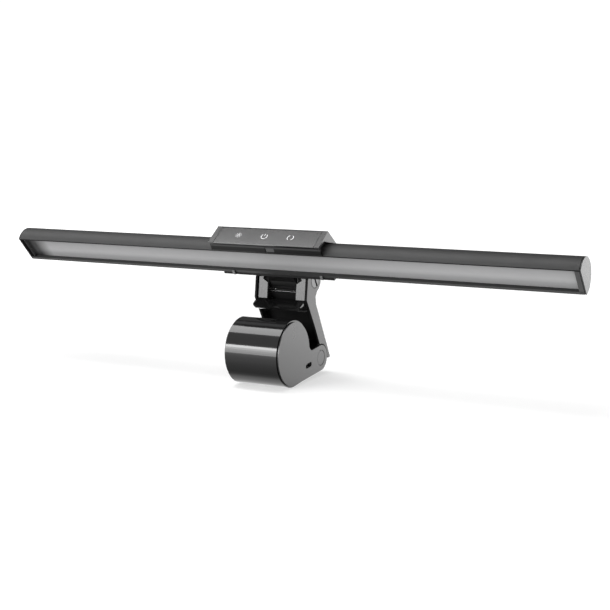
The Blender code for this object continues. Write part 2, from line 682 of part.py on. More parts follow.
def build_pod_hinge():
    outline = arc(POD_AXIS, 8.6, 96.0, 289.0, 32) + [(26.5, -38.6), (19.8, -25.3)]
    block = prism(outline, -PIVOT_BLOCK_HALF_WIDTH, PIVOT_BLOCK_HALF_WIDTH)
    cut(block, rod(POD_AXIS, 6.7, -10.5, 10.5, 48))
    cut(block, box((-10.5, 2.0, -47.0), (10.5, POD_AXIS[0], -26.0)))
    cut(block, rod(POD_AXIS, POD_HOLE_RADIUS, -25, 25, 32))
    for side in (-1, 1):
        cut(block, pivot_screw_hole(side))
    register(block, "pivot_block", black_plastic, clip_root)

    normal = web_normal()
    for side_name, sign in (("left", -1), ("right", 1)):
        seat = (rear_line(PIVOT_SCREW_Z) + normal[0] * GAP, PIVOT_SCREW_Z + normal[1] * GAP)
        direction = (math.atan2(-normal[0], normal[1]), 0.0, 0.0)
        screw = slotted_screw((sign * PIVOT_SCREW_X, *seat), direction, 1.25, 5.0)
        register(screw, "pivot_screw_" + side_name, dark_steel, clip_root)

    register(shade_round(rod(POD_AXIS, POD_PIN_RADIUS, -20.1, 20.1, 32)), "pivot_pin", dark_steel, pod_pivot)
    for side_name, sign in (("left", -1), ("right", 1)):
        span = sorted((sign * 20.4, sign * (POD_HALF_WIDTH - 0.1)))
        register(shade_round(rod(POD_AXIS, 5.5, *span)), "pivot_cap_" + side_name, grey_satin, pod_pivot)

    register(shade_round(build_spring()), "torsion_spring", spring_steel, clip_root)


def build_spring():
    curve = bpy.data.curves.new("spring", 'CURVE')
    curve.dimensions = '3D'
    curve.bevel_depth = 0.6 * MM
    curve.bevel_resolution = 1
    curve.use_fill_caps = True
    turns = 7
    per_turn = 12
    radius = 4.6
    half = 8.0
    total = turns * per_turn
    points = []
    for i in range(total + 1):
        y, z = polar(POD_AXIS, radius, -60.0 + 360.0 * i / per_turn)
        points.append((-half + 2 * half * i / total, y, z))
    spline = curve.splines.new('POLY')
    spline.points.add(len(points) - 1)
    for point, (x, y, z) in zip(spline.points, points):
        point.co = (x * MM, y * MM, z * MM, 1.0)
    holder = bpy.data.objects.new("spring", curve)
    bpy.context.scene.collection.objects.link(holder)
    return curve_to_mesh(holder)


# ---------------------------------------------------------------- counterweight pod

def plate_outline():
    """Disc, arm and hinge lobe of a side plate."""
    fillet = 5.0
    arm_top = -28.4
    rise = arm_top + fillet - POD_CENTRE[1]
    span = math.sqrt((PLATE_RADIUS + fillet) ** 2 - rise ** 2)
    fillet_centre = (POD_CENTRE[0] + span, POD_CENTRE[1] + rise)
    touch = math.degrees(math.atan2(rise, span))
    disc = arc(POD_CENTRE, PLATE_RADIUS, touch, 360 + ARM_TANGENT, 80)
    lobe = arc(POD_AXIS, LOBE_RADIUS, ARM_TANGENT, 96.0, 36)
    corner = arc(fillet_centre, fillet, 268.0, 182.0 + touch, 8)
    return disc + lobe + corner


def shell_outline():
    """Barrel with the tail that runs back to the hinge."""
    disc = arc(POD_CENTRE, POD_RADIUS, -4.0, 360 + ARM_TANGENT, 88)
    reach = 10.2
    hollow = arc(POD_AXIS, reach, 233.0, 140.0, 16)
    return disc + [(3.5, -46.9)] + hollow + [(5.6, -28.9), (0.0, -28.9)]


def build_pod():
    cavity = arc(POD_CENTRE, POD_RADIUS - POD_WALL, -12.0, 360 - 50.0, 72)
    cavity += [(1.6, -44.9), (2.4, -44.9), (2.4, -31.0)]
    shell = prism([shell_outline(), cavity], -POD_SHELL_HALF_WIDTH, POD_SHELL_HALF_WIDTH)
    register(shell, "pod_shell", black_gloss, pod_pivot)

    port_hole = turned_about(rounded_slot(PORT_CENTRE, *PORT_SIZE), PORT_CENTRE, PORT_TILT)
    for side_name, sign in (("left", -1), ("right", 1)):
        span = sorted((sign * PLATE_INNER, sign * POD_HALF_WIDTH))
        plate = prism(plate_outline(), *span)
        fuse(plate, rod(POD_AXIS, LOBE_RADIUS - 0.2, *sorted((sign * HINGE_BOSS_INNER, sign * 21.4)), 64))
        cut(plate, rod(POD_AXIS, POD_HOLE_RADIUS, -30, 30, 32))
        counterbore = sorted((sign * 20.1, sign * 30.0))
        cut(plate, rod(POD_AXIS, 5.8, *counterbore))
        if sign > 0:
            cut(plate, prism(port_hole, 10.0, 30.0))
        register(plate, "side_plate_" + side_name, grey_satin, pod_pivot)

    weight_radius = POD_RADIUS - POD_WALL - GAP
    weight = prism(arc(POD_CENTRE, weight_radius, 92, 268, 48), -WEIGHT_HALF_WIDTH, WEIGHT_HALF_WIDTH)
    register(shade_round(weight), "counterweight", cast_weight, pod_pivot)

    shell_size = (PORT_SIZE[0] - 2 * GAP, PORT_SIZE[1] - 2 * GAP)
    socket_outline = turned_about(rounded_slot(PORT_CENTRE, *shell_size), PORT_CENTRE, PORT_TILT)
    throat = turned_about(rounded_slot(PORT_CENTRE, shell_size[0] - 0.7, shell_size[1] - 0.7),
                          PORT_CENTRE, PORT_TILT)
    socket = prism(socket_outline, *SOCKET_SPAN)
    cut(socket, prism(throat, SOCKET_SPAN[0] + 1.0, SOCKET_SPAN[1] + 1.0))
    tongue = turned_about(rectangle(PORT_CENTRE, 5.8, 0.6), PORT_CENTRE, PORT_TILT)
    fuse(socket, prism(tongue, SOCKET_SPAN[0] + 0.5, SOCKET_SPAN[1] - 0.8))
    register(socket, "usb_socket", bright_steel, pod_pivot)

    board_centre = (PORT_CENTRE[0] + 0.4, PORT_CENTRE[1] - 2.5)
    board = turned_about(rectangle(board_centre, 9.6, 1.0), board_centre, PORT_TILT)
    register(prism(board, -12.0, 17.8), "power_board", circuit_board, pod_pivot)


# ---------------------------------------------------------------- build

clear_scene()
parts = make_collection("monitor_light_bar")
cutters = make_collection("cutters")

black_aluminium = make_material("black_aluminium", (0.035, 0.035, 0.037), 0.42, 0.6)
grey_satin = make_material("grey_satin", (0.30, 0.30, 0.31), 0.38, 0.7)
black_gloss = make_material("black_gloss", (0.010, 0.010, 0.011), 0.12)
black_plastic = make_material("black_plastic", (0.018, 0.018, 0.019), 0.45)
panel_black = make_material("panel_black", (0.060, 0.060, 0.063), 0.22)
frosted_diffuser = make_material("frosted_diffuser", (0.42, 0.42, 0.43), 0.55)
smoked_window = make_material("smoked_window", (0.12, 0.12, 0.125), 0.15)
white_reflector = make_material("white_reflector", (0.80, 0.80, 0.80), 0.5)
circuit_board = make_material("circuit_board", (0.05, 0.16, 0.07), 0.45)
silicone = make_material("silicone", (0.03, 0.03, 0.03), 0.85)
dark_steel = make_material("dark_steel", (0.22, 0.22, 0.23), 0.32, 1.0)
bright_steel = make_material("bright_steel", (0.55, 0.55, 0.56), 0.28, 1.0)
spring_steel = make_material("spring_steel", (0.40, 0.40, 0.41), 0.3, 1.0)
bronze_washer = make_material("bronze_washer", (0.45, 0.30, 0.14), 0.4, 1.0)
cast_weight = make_material("cast_weight", (0.20, 0.20, 0.21), 0.6, 1.0)

clip_root = make_pivot("clip_root", (0.0, 0.0))
head_pivot = make_pivot("head_pivot", TILT_AXIS)
pod_pivot = make_pivot("pod_pivot", POD_AXIS)

build_bar()
build_control_module()
build_saddle()
build_spine()
build_hook_block()
build_tilt_hinge()
build_pod_hinge()
build_pod()
bpy.context.view_layer.update()
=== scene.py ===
"""Finished surfaces and studio for the monitor light bar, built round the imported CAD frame.

Frame: +X along the bar, -Y towards the user, +Z up, in metres. Side outlines are (y, z) in millimetres.
"""
import json
import math

import bmesh
import bpy
from mathutils import Matrix, Vector


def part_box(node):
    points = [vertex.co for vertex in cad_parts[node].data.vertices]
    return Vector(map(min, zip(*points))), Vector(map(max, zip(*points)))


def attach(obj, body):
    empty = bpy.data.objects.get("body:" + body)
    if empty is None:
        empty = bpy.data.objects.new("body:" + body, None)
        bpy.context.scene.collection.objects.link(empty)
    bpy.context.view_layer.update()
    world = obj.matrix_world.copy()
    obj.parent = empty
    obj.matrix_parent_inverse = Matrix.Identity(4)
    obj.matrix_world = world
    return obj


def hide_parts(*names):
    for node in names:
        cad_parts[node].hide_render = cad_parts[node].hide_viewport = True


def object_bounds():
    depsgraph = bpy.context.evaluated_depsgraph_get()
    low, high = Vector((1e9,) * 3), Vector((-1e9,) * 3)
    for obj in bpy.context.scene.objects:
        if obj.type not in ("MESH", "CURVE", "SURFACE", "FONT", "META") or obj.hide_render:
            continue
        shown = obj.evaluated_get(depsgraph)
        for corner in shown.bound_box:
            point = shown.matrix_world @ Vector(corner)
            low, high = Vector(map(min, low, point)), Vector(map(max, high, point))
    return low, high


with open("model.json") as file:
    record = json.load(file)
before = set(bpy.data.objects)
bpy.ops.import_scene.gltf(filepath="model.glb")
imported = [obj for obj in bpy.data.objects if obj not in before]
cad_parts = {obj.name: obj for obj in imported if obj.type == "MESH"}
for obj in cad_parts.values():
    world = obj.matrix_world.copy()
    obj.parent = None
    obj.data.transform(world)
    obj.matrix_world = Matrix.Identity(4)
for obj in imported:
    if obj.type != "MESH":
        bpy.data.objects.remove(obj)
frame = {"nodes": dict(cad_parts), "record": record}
cad_low, cad_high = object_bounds()

MM = 0.001
BODIES = frame["record"]["behaviour"]["bodies"]
BODY_OF_NODE = {node: body for body, names in BODIES.items() for node in names}
SLOT_OF_NODE = {entry["node"]: entry["material_slot"] for entry in frame["record"]["subparts"]}

# Side geometry that finishes and print follow, as (y, z) in millimetres
FACE_TOP = (-24.7, 44.3)          # upper and lower corners of the lamp's sloping face
FACE_BOTTOM = (-9.6, 26.8)
PANEL_FRONT = (-31.0, 50.8)       # lower and upper edges of the touch panel
PANEL_REAR = (-16.7, 60.7)

# Places that tell which faces of a node take another finish, in metres: painted shade and painted highlights
TILT_AXIS = (0.0066, 0.0221)      # y and z of the upper hinge
SCREW_FACE_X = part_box("tilt_screw")[1].x
SCREW_SLOT_DEPTH = 0.0012
SCREW_SLOT_REACH = 0.0050         # from the hinge's axis
CLAW_X = 0.036                    # middles of the saddle's claws, left and right
CLAW_HALF_WIDTH = 0.002
CLAW_BACK_Y = -0.0085
UPPER_LIP_Z = 0.0425              # the bar's upper lip lies above this
LEDGE_Z = 0.01305                 # the hook block's ledge under the knuckle
LEDGE_MARGIN = 0.0006
LEDGE_BACK_Y = 0.0031
# Below this split the band's black is a painted shadow
BAND_SPLIT_Z = 0.0478             # where the band under the touch panel turns from grey to black
BAND_SPLIT_BLUR = 0.0002

# Printed symbols, in millimetres
ICON_SPACING = 21.0
ICON_MIDDLE_X = -2.3
ICON_STROKE = 0.36
ICON_STROKE_FINE = 0.26
ICON_REACH = 2.5
ICON_LIFT = 0.02                  # above the panel's face

# Fine texture: how dense each noise is, in features per metre, and how deep it goes in metres
TONE_CLOUDS = 90.0
SHEEN_CLOUDS = 60.0
GRAIN = 2600.0
GRAIN_DEPTH = 0.00004
STREAKS = 1800.0
STREAK_DEPTH = 0.00002
FROST = 3200.0
FROST_DEPTH = 0.00003
FROST_SHEEN = 240.0
NOISE_RANGE = (0.3, 0.7)          # nearly all of a noise's values lie in here

# Diffuser: (share of the height, tone) from the upper edge down, painted shade under its lips round a
# brighter middle, and the painted shadow that dims it from the left end inwards
DIFFUSER_SHADE_TONES = ((0.10, 0.18), (0.22, 0.225), (0.55, 0.30), (0.64, 0.285), (0.72, 0.25), (0.92, 0.30))
LEFT_END_SHADOW = (0.011, 0.04)          # distance from the left end, and share of the tone there
END_SHADOW_GONE = (0.023, 0.90)
# painted shade along the bar, darker towards its left end
SHADE_ALONG_BAR = (0.86, 1.04)          # share of the tone at the left and at the right end

# Camera: lens and sensor in millimetres, place in metres, and in degrees where it looks from and its roll
LENS = 75.54
SENSOR = 36.0
CAMERA_PLACE = (0.44852, -0.79853, 0.15769)
CAMERA_AZIMUTH = 28.40
CAMERA_ELEVATION = 9.58
CAMERA_ROLL = -0.72

# Softboxes: place, size and brightness against white paper. A front strip gives its lower and upper edge
# and its brightness.
OVERHEAD_PLACE = (-0.45, -0.1275, 0.90)
OVERHEAD_SIZE = (1.3, 0.485)
OVERHEAD_RADIANCE = 4.3
FRONT_X = -0.60
FRONT_Y = -1.05
FRONT_WIDTH = 0.8
FRONT_STRIPS = ((0.30, 0.47, 12.0), (0.18, 0.30, 7.2), (0.06, 0.18, 5.2), (-0.045, 0.06, 4.2))
REAR_PLACE = (0.80, 1.30, 0.30)
REAR_SIZE = (1.2, 0.6)
REAR_RADIANCE = 1.0

# White room: brightness that the camera sees, and that lights the object from the front and from the back
ROOM_SEEN = 1.05
ROOM_FRONT = 0.60
ROOM_BACK = 0.12
ROOM_TURN = (-0.2, 0.8)           # y of the directions between which it falls from front to back

# Light table under the object: how it looks, and (y, brightness) of the light that it throws on the object
FLOOR_Z = cad_low.z - 0.0003
FLOOR_RADIUS = 8.0
FLOOR_SIDES = 96
PAPER = 0.50
PAPER_ROUGHNESS = 0.9
FLOOR_GLOW = (0.39, 0.545)        # close to the object, under its left end and from its middle rightwards
FLOOR_GLOW_FAR = 1.06
FLOOR_NEAR = 0.25                 # the glow rises between these distances from the middle
FLOOR_FAR = 1.1
TABLE_LIGHT = ((-0.200, 1.4), (-0.090, 0.9), (-0.052, 0.33), (-0.048, 0.33), (-0.046, 1.0), (0.0, 1.6),
               (0.13, 2.25), (0.20, 2.6), (0.32, 2.5), (0.8, 3.0))
TABLE_LIGHT_FRONT = 1.7           # further brightness, rising between these y towards the user
TABLE_FRONT_NEAR = -0.2
TABLE_FRONT_FAR = -1.4


# ---------------------------------------------------------------- camera, light and floor

def make_camera():
    data = bpy.data.cameras.new("camera")
    data.lens = LENS
    data.sensor_width = SENSOR
    data.dof.use_dof = False
    camera = bpy.data.objects.new("camera", data)
    bpy.context.scene.collection.objects.link(camera)
    azimuth = math.radians(CAMERA_AZIMUTH)
    elevation = math.radians(CAMERA_ELEVATION)
    back = Vector((math.sin(azimuth) * math.cos(elevation), -math.cos(azimuth) * math.cos(elevation),
                   math.sin(elevation)))
    level = back.to_track_quat("Z", "Y").to_matrix().to_4x4()
    camera.matrix_world = (Matrix.Translation(CAMERA_PLACE) @ level
                           @ Matrix.Rotation(math.radians(CAMERA_ROLL), 4, "Z"))
    bpy.context.scene.camera = camera


def softbox(name, centre, target, width, height, radiance):
    """A rectangular light at centre that faces target; radiance is its brightness against white paper."""
    data = bpy.data.lights.new(name, "AREA")
    data.shape = "RECTANGLE"
    data.size = width
    data.size_y = height
    data.energy = 4.0 * width * height * radiance
    light = bpy.data.objects.new(name, data)
    light.location = centre
    light.rotation_euler = (Vector(centre) - Vector(target)).to_track_quat("Z", "Y").to_euler()
    bpy.context.scene.collection.objects.link(light)
    return light


def make_lights():
    below = (OVERHEAD_PLACE[0], OVERHEAD_PLACE[1], 0.0)
    softbox("overhead", OVERHEAD_PLACE, below, *OVERHEAD_SIZE, OVERHEAD_RADIANCE)
    for index, (low, high, radiance) in enumerate(FRONT_STRIPS):
        middle = (low + high) / 2
        place = (FRONT_X, FRONT_Y, middle)
        softbox(f"front_strip_{index}", place, (FRONT_X, 0.0, middle), FRONT_WIDTH, high - low, radiance)
    softbox("rear_right", REAR_PLACE, (0.0, 0.0, 0.0), *REAR_SIZE, REAR_RADIANCE)


def feed(tree, socket, value):
    """Give a socket a number, a colour or another node's output."""
    if isinstance(value, bpy.types.NodeSocket):
        tree.links.new(value, socket)
    else:
        socket.default_value = value


def ranged(tree, value, from_low, from_high, to_low, to_high):
    """A value carried from one range to another, and held at its ends."""
    span = tree.nodes.new("ShaderNodeMapRange")
    names = ("Value", "From Min", "From Max", "To Min", "To Max")
    for name, amount in zip(names, (value, from_low, from_high, to_low, to_high)):
        feed(tree, span.inputs[name], amount)
    return span.outputs["Result"]


def worked_out(tree, kind, operation, *values):
    """The number that a Math or a VectorMath node makes of its inputs."""
    node = tree.nodes.new(kind)
    node.operation = operation
    for socket, value in zip(node.inputs, values):
        feed(tree, socket, value)
    return node.outputs["Value"]


def along(tree, place, axis):
    """One coordinate of a place."""
    split = tree.nodes.new("ShaderNodeSeparateXYZ")
    tree.links.new(place, split.inputs[0])
    return split.outputs[axis]


def mixed(tree, factor, first, second, blend="MIX"):
    """Two colours blended by a factor."""
    mix = tree.nodes.new("ShaderNodeMix")
    mix.data_type = "RGBA"
    mix.blend_type = blend
    feed(tree, mix.inputs["Factor"], factor)
    feed(tree, mix.inputs["A"], first)
    feed(tree, mix.inputs["B"], second)
    return mix.outputs["Result"]


def glowing(tree, kind, strength):
    """An Emission or a Background shader of white light."""
    glow = tree.nodes.new(kind)
    glow.inputs["Color"].default_value = (1.0, 1.0, 1.0, 1.0)
    feed(tree, glow.inputs["Strength"], strength)
    return glow


def show_and_light(tree, when_seen, when_lighting, surface):
    """Mix two shaders: the first where the camera looks at it, the second where it lights the object."""
    path = tree.nodes.new("ShaderNodeLightPath")
    mix = tree.nodes.new("ShaderNodeMixShader")
    tree.links.new(path.outputs["Is Camera Ray"], mix.inputs[0])
    tree.links.new(when_lighting.outputs[0], mix.inputs[1])
    tree.links.new(when_seen.outputs[0], mix.inputs[2])
    tree.links.new(mix.outputs[0], surface)


def make_world():
    """A white room for the camera, dimmer towards the back where it lights the object."""
    world = bpy.data.worlds.new("studio")
    world.use_nodes = True
    bpy.context.scene.world = world
    tree = world.node_tree
    tree.nodes.clear()
    output = tree.nodes.new("ShaderNodeOutputWorld")
    direction = tree.nodes.new("ShaderNodeTexCoord").outputs["Generated"]
    fall = ranged(tree, along(tree, direction, "Y"), *ROOM_TURN, ROOM_FRONT, ROOM_BACK)
    seen = glowing(tree, "ShaderNodeBackground", ROOM_SEEN)
    room = glowing(tree, "ShaderNodeBackground", fall)
    show_and_light(tree, seen, room, output.inputs["Surface"])


def floor_as_seen(tree, place):
    """White paper on a light table: it takes soft shadows near the object and is plain white far away."""
    paper = tree.nodes["Principled BSDF"]
    paper.inputs["Base Color"].default_value = (PAPER, PAPER, PAPER, 1.0)
    paper.inputs["Roughness"].default_value = PAPER_ROUGHNESS
    paper.inputs["Specular IOR Level"].default_value = 0.0
    close = ranged(tree, along(tree, place, "X"), cad_low.x, 0.0, *FLOOR_GLOW)
    distance = worked_out(tree, "ShaderNodeVectorMath", "LENGTH", place)
    strength = ranged(tree, distance, FLOOR_NEAR, FLOOR_FAR, close, FLOOR_GLOW_FAR)
    lit = tree.nodes.new("ShaderNodeAddShader")
    tree.links.new(paper.outputs[0], lit.inputs[0])
    tree.links.new(glowing(tree, "ShaderNodeEmission", strength).outputs[0], lit.inputs[1])
    return lit


def floor_as_light(tree, place):
    """The table's light on the object: bright and dark bands by y, which its gloss mirrors."""
    y = along(tree, place, "Y")
    start, *between, (end, brightest) = TABLE_LIGHT
    rise = tree.nodes.new("ShaderNodeFloatCurve")
    feed(tree, rise.inputs["Value"], ranged(tree, y, start[0], end, 0.0, 1.0))
    curve = rise.mapping.curves[0]
    for at, value in between:
        curve.points.new((at - start[0]) / (end - start[0]), value / brightest)
    curve.points[0].location = (0.0, start[1] / brightest)
    for point in curve.points:
        point.handle_type = "VECTOR"
    rise.mapping.update()
    bands = worked_out(tree, "ShaderNodeMath", "MULTIPLY", rise.outputs["Value"], brightest)
    front = ranged(tree, y, TABLE_FRONT_NEAR, TABLE_FRONT_FAR, 0.0, TABLE_LIGHT_FRONT)
    return glowing(tree, "ShaderNodeEmission", worked_out(tree, "ShaderNodeMath", "ADD", bands, front))


def make_floor():
    mesh = bpy.data.meshes.new("floor")
    bm = bmesh.new()
    bmesh.ops.create_circle(bm, cap_ends=True, segments=FLOOR_SIDES, radius=FLOOR_RADIUS)
    bm.to_mesh(mesh)
    bm.free()
    floor = bpy.data.objects.new("floor", mesh)
    floor.location = (0.0, 0.0, FLOOR_Z)
    bpy.context.scene.collection.objects.link(floor)
    material = bpy.data.materials.new("light_table")
    material.use_nodes = True
    tree = material.node_tree
    place = tree.nodes.new("ShaderNodeTexCoord").outputs["Object"]
    show_and_light(tree, floor_as_seen(tree, place), floor_as_light(tree, place),
                   tree.nodes["Material Output"].inputs["Surface"])
    mesh.materials.append(material)


# ---------------------------------------------------------------- materials

class Finish:
    """A Principled material with its texture nodes, all read from the piece's own coordinates."""

    def __init__(self, name, colour, roughness, metallic=0.0, **sockets):
        self.material = bpy.data.materials.new(name)
        self.material.use_nodes = True
        self.tree = self.material.node_tree
        self.shader = self.tree.nodes["Principled BSDF"]
        self.colour = colour
        self.shader.inputs["Base Color"].default_value = (*colour, 1.0)
        self.shader.inputs["Roughness"].default_value = roughness
        self.shader.inputs["Metallic"].default_value = metallic
        for socket, value in sockets.items():
            self.shader.inputs[socket.replace("_", " ")].default_value = value
        self.place = self.tree.nodes.new("ShaderNodeTexCoord").outputs["Object"]

    def noise(self, scale, stretch=(1.0, 1.0, 1.0), detail=3.0):
        mapping = self.tree.nodes.new("ShaderNodeMapping")
        mapping.inputs["Scale"].default_value = tuple(scale * s for s in stretch)
        self.tree.links.new(self.place, mapping.inputs["Vector"])
        noise = self.tree.nodes.new("ShaderNodeTexNoise")
        noise.inputs["Scale"].default_value = 1.0
        noise.inputs["Detail"].default_value = detail
        self.tree.links.new(mapping.outputs["Vector"], noise.inputs["Vector"])
        return noise.outputs["Fac"]

    def spread(self, noise, low, high):
        """Noise, which stays near its middle, carried to the range from low to high."""
        return ranged(self.tree, noise, *NOISE_RANGE, low, high)

    def set_colour(self, colour):
        self.tree.links.new(colour, self.shader.inputs["Base Color"])

    def vary_roughness(self, noise, low, high):
        self.tree.links.new(self.spread(noise, low, high), self.shader.inputs["Roughness"])

    def vary_colour(self, noise, darker, lighter):
        shades = [(*(c * share for c in self.colour), 1.0) for share in (darker, lighter)]
        self.set_colour(mixed(self.tree, self.spread(noise, 0.0, 1.0), *shades))

    def emboss(self, height, strength, distance):
        bump = self.tree.nodes.new("ShaderNodeBump")
        bump.inputs["Strength"].default_value = strength
        bump.inputs["Distance"].default_value = distance
        self.tree.links.new(height, bump.inputs["Height"])
        self.tree.links.new(bump.outputs["Normal"], self.shader.inputs["Normal"])


def grey(value):
    return (value, value, value * 1.01)


def painted(name, tone, roughness, grain=0.25, metallic=0.0, **sockets):
    """Powder or satin paint: fine orange peel, cloudy sheen and a slight change of tone."""
    finish = Finish(name, grey(tone), roughness, metallic, **sockets)
    finish.vary_colour(finish.noise(TONE_CLOUDS), 0.97, 1.03)
    finish.vary_roughness(finish.noise(SHEEN_CLOUDS), roughness * 0.96, roughness * 1.04)
    finish.emboss(finish.noise(GRAIN, detail=2.0), grain, GRAIN_DEPTH)
    return finish.material


def brushed(name, tone, roughness, stretch, contrast=0.08, metallic=0.0, **sockets):
    """Brushed metal: streaks along the axis whose stretch is small."""
    finish = Finish(name, grey(tone), roughness, metallic, **sockets)
    streak = finish.noise(STREAKS, stretch, detail=4.0)
    finish.vary_colour(streak, 1.0 - contrast, 1.0 + contrast)
    finish.vary_roughness(streak, roughness - 0.06, roughness + 0.06)
    finish.emboss(streak, 0.15, STREAK_DEPTH)
    return finish.material


def diffuser_with_painted_shade():
    """Frosted sheet whose colour holds painted shade: brighter in its upper middle, dimmer by its lower edge
    and its left end.
    """
    finish = Finish("frosted_diffuser", grey(0.36), 0.55)
    tree = finish.tree
    length = math.dist(FACE_TOP, FACE_BOTTOM)
    down = ((FACE_BOTTOM[0] - FACE_TOP[0]) / length, (FACE_BOTTOM[1] - FACE_TOP[1]) / length)
    start = (FACE_TOP[0] * down[0] + FACE_TOP[1] * down[1]) * MM
    depth = worked_out(tree, "ShaderNodeVectorMath", "DOT_PRODUCT", finish.place, (0.0, *down))
    ramp = tree.nodes.new("ShaderNodeValToRGB")
    tree.links.new(ranged(tree, depth, start, start + length * MM, 0.0, 1.0), ramp.inputs["Fac"])
    elements = ramp.color_ramp.elements
    first, *between, last = DIFFUSER_SHADE_TONES
    for position, tone in between:
        elements.new(position).color = (*grey(tone), 1.0)
    for element, (position, tone) in ((elements[0], first), (elements[-1], last)):
        element.position = position
        element.color = (*grey(tone), 1.0)

    # Painted shadow of the left end plug, times painted shade along the bar
    x = along(tree, finish.place, "X")
    shadow_x = cad_low.x + LEFT_END_SHADOW[0]
    shadow_gone_x = cad_low.x + END_SHADOW_GONE[0]
    end_shadow = ranged(tree, x, shadow_x, shadow_gone_x, LEFT_END_SHADOW[1], END_SHADOW_GONE[1])
    shade_along_bar = ranged(tree, x, cad_low.x, cad_high.x, *SHADE_ALONG_BAR)
    painted_shade = worked_out(tree, "ShaderNodeMath", "MULTIPLY", end_shadow, shade_along_bar)
    finish.set_colour(mixed(tree, 1.0, ramp.outputs["Color"], painted_shade, "MULTIPLY"))
    finish.vary_roughness(finish.noise(FROST_SHEEN), 0.50, 0.60)
    finish.emboss(finish.noise(FROST, detail=2.0), 0.2, FROST_DEPTH)
    return finish.material


def base_band_with_painted_shadow():
    """Front band under the touch panel: dark grey along its upper edge, and black below, a painted shadow of
    the gap under the housing's front.
    """
    finish = Finish("control_base_band", grey(0.010), 0.45, Specular_IOR_Level=0.25)
    height = along(finish.tree, finish.place, "Z")
    split = (BAND_SPLIT_Z - BAND_SPLIT_BLUR, BAND_SPLIT_Z + BAND_SPLIT_BLUR)
    upper = ranged(finish.tree, height, *split, 0.0, 1.0)
    finish.set_colour(mixed(finish.tree, upper, (*grey(0.001), 1.0), (*grey(0.028), 1.0)))
    finish.emboss(finish.noise(GRAIN, detail=2.0), 0.3, GRAIN_DEPTH)
    return finish.material


def make_materials():
    """One finish for each material slot, and a few more for nodes that differ within their slot, most of them
    painted light, shade and highlights.
    """
    made = {}
    made["black_aluminium"] = painted("black_anodised", 0.016, 0.58, grain=0.5, Specular_IOR_Level=0.42)
    made["grey_satin"] = painted("satin_black", 0.026, 0.28, grain=0.1, IOR=1.55)
    made["black_gloss"] = painted("black_gloss", 0.007, 0.09, grain=0.02)
    made["black_plastic"] = painted("black_plastic", 0.005, 0.42, grain=0.5, Specular_IOR_Level=0.2)
    made["panel_black"] = painted("panel_glass", 0.022, 0.16, grain=0.03, IOR=2.05)
    made["frosted_diffuser"] = diffuser_with_painted_shade()
    made["smoked_window"] = painted("smoked_window", 0.045, 0.40, grain=0.02)
    made["white_reflector"] = painted("white_reflector", 0.80, 0.50)
    made["circuit_board"] = painted("circuit_board", 0.10, 0.45)
    made["silicone"] = painted("silicone", 0.02, 0.85, grain=0.6)
    made["dark_steel"] = brushed("dark_steel", 0.12, 0.34, (1.0, 1.0, 0.05), metallic=1.0)
    made["bright_steel"] = brushed("bright_steel", 0.10, 0.35, (0.05, 1.0, 1.0), metallic=1.0)
    made["spring_steel"] = brushed("spring_steel", 0.40, 0.30, (1.0, 1.0, 0.2), metallic=1.0)
    made["bronze_washer"] = painted("bronze_washer", 0.20, 0.40, metallic=1.0)
    made["cast_weight"] = painted("cast_weight", 0.20, 0.60, metallic=1.0)
    # The end plugs are one black plastic: the left one darker and without sheen as painted shade, the right
    # one a lighter lit copy
    made["end_plug"] = painted("end_plug_left_shaded", 0.001, 0.75, grain=0.4, Specular_IOR_Level=0.02)
    # Lighter black on the left plug's inner wall: painted light
    made["plug_wall_painted_light"] = painted("plug_wall_painted_light", 0.035, 0.55, grain=0.4)
    made["end_plug_right_lit"] = painted("end_plug_right_lit", 0.012, 0.42, grain=0.4)
    made["end_cap"] = brushed("end_cap_satin", 0.026, 0.24, (1.0, 1.0, 0.06), 0.2, Specular_IOR_Level=0.2)
    # Matte black without sheen for faces that lie in shade: painted shade
    made["painted_shade_black"] = painted("painted_shade_black", 0.006, 0.75, grain=0.4, Specular_IOR_Level=0.12)
    # Lighter metal on the side plates' rounded edges: a painted highlight
    made["plate_edge_highlight"] = painted("plate_edge_highlight", 0.28, 0.32, grain=0.02, metallic=1.0)
    # Darker copy of the housing's finish on its up-facing rim: painted shade
    made["panel_rim_shaded"] = painted("panel_rim_shaded", 0.010, 0.24, grain=0.05, IOR=1.68)
    # Grey on the saddle's claws: a painted highlight
    made["claw_highlight"] = painted("claw_highlight", 0.10, 0.45, grain=0.3)
    # Near-white on the hook block's ledge: a painted highlight
    made["ledge_highlight"] = painted("ledge_highlight", 0.80, 0.30, grain=0.1)
    made["front_plate"] = brushed("front_plate_satin", 0.022, 0.24, (1.0, 1.0, 0.06), contrast=0.2, IOR=1.47)
    made["spine"] = painted("spine_satin", 0.014, 0.26, grain=0.1, IOR=1.52)
    made["control_base"] = base_band_with_painted_shadow()
    made["icon_print"] = painted("icon_print", 0.85, 0.5, grain=0.05)
    return made


# ---------------------------------------------------------------- pieces

def faces_user(face):
    """Faces turned towards the user: cut edges and inner walls, which take painted shade."""
    return face.normal.y < -0.7


def slot_of_screw(face):
    """Walls and floor of the slot across a tilt screw's head, which take painted shade."""
    middle = face.calc_center_median()
    from_axis = math.dist((middle.y, middle.z), TILT_AXIS)
    below_face = SCREW_FACE_X - abs(middle.x)
    is_wall = abs(face.normal.x) < 0.5
    return below_face < SCREW_SLOT_DEPTH and from_axis < SCREW_SLOT_REACH and (below_face > 0.0002 or is_wall)


def claw_face(face):
    """The saddle's two claws on the lamp's lower edge, which take a painted highlight."""
    middle = face.calc_center_median()
    on_claw = abs(abs(middle.x) - CLAW_X) < CLAW_HALF_WIDTH
    return on_claw and middle.y < CLAW_BACK_Y and face.normal.y < -0.3


def panel_rim_shaded(face):
    """The housing's rim round the touch panel, which takes a darker copy of the housing's finish as painted
    shade.
    """
    return face.normal.z > 0.5 and face.normal.y < -0.2


